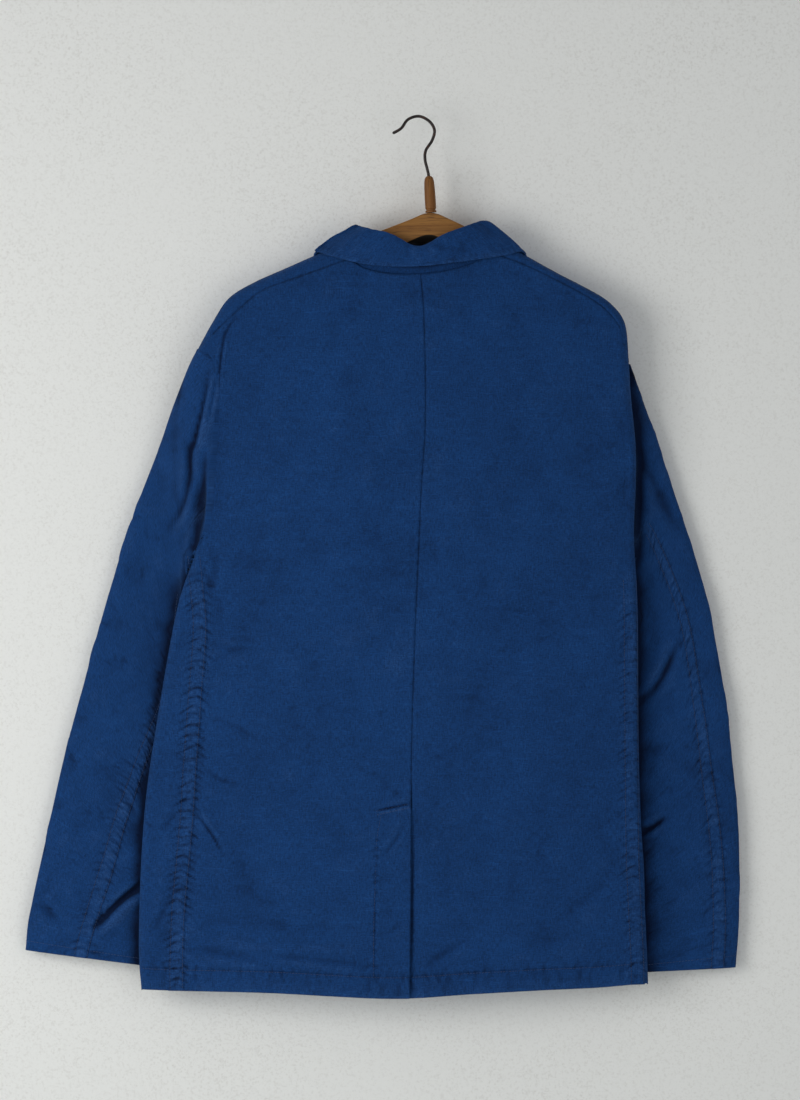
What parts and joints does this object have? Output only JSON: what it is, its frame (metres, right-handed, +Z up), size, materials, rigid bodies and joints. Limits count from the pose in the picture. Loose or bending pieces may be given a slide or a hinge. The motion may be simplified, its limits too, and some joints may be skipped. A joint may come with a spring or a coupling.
{
  "type": "blazer on a wooden clothes hanger",
  "caption": "Unlined washed cotton and linen work blazer with a turn-down collar and a centre back vent, buttoned and hanging on a plain wooden hanger with a wire hook.",
  "frame": {"origin": "the underside of the wire hook, where it bears on the nail that holds the hanger up", "axes": "+Z up, the back of the blazer faces -Y and its front +Y, +X to the right seen from behind, towards the wearer's right"},
  "size_m": [0.7162, 0.0602, 0.8826],
  "materials": {
    "cloth": "matt washed plain weave with fine slubs, mid blue with paler worn seams",
    "button": "dull dark blue",
    "wood": "satin mid brown with a fine grain along the arms",
    "turned_wood": "satin red-brown",
    "wire": "dark, slightly rusty wire"
  },
  "bodies": {
    "root": {"back_left": "cloth", "back_right": "cloth", "front_left": "cloth", "front_right": "cloth", "sleeve_left_top": "cloth", "sleeve_left_under": "cloth", "sleeve_right_top": "cloth", "sleeve_right_under": "cloth", "collar_stand": "cloth", "collar_fall": "cloth", "lapel_left": "cloth", "lapel_right": "cloth", "button_1": "button", "button_2": "button", "button_3": "button", "hanger_bar": "wood", "hanger_neck": "turned_wood", "hanger_hook": "wire"}
  },
  "joints": []
}
